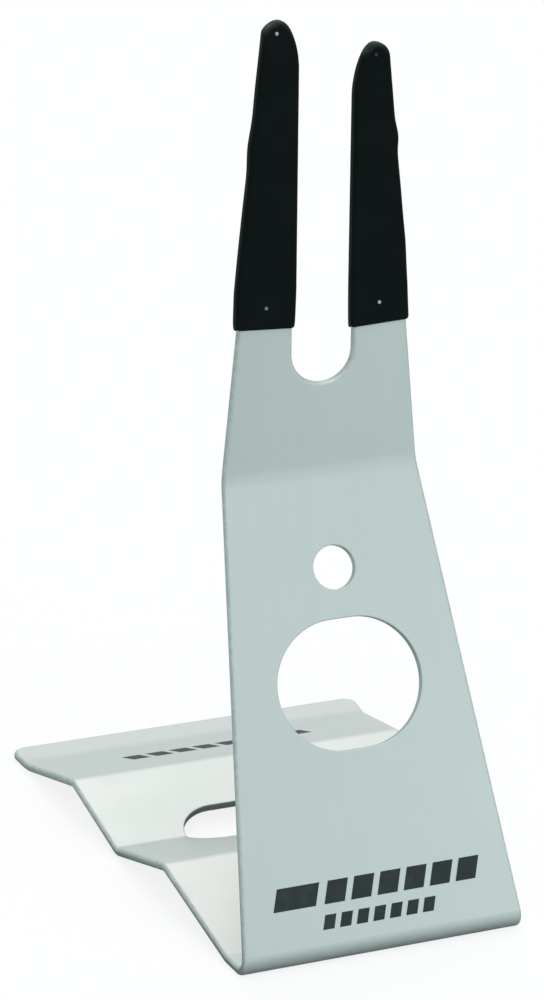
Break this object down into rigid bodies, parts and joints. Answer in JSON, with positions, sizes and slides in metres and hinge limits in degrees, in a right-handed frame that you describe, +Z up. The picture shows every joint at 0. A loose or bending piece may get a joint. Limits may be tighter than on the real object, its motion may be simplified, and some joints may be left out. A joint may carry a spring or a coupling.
{
  "type": "bike display stand",
  "caption": "Bent aluminium plate stand with a leaning front, a ridged base and a sleeved two-prong fork that holds a bicycle wheel upright by its hub.",
  "frame": {"origin": "on the floor, under the middle of the stand's bounding box", "axes": "+X to the right seen from the front, +Y to the back along the base, +Z up along the fork"},
  "size_m": [0.2774, 0.3878, 0.6034],
  "materials": {
    "satin_aluminium": "satin silver, fine grain",
    "black_vinyl": "soft satin black",
    "rivet_steel": "plated"
  },
  "bodies": {
    "root": {"stand_plate": "satin_aluminium", "left_sleeve": "black_vinyl", "right_sleeve": "black_vinyl", "left_tip_rivet": "rivet_steel", "left_mouth_rivet": "rivet_steel", "right_tip_rivet": "rivet_steel", "right_mouth_rivet": "rivet_steel"}
  },
  "joints": []
}
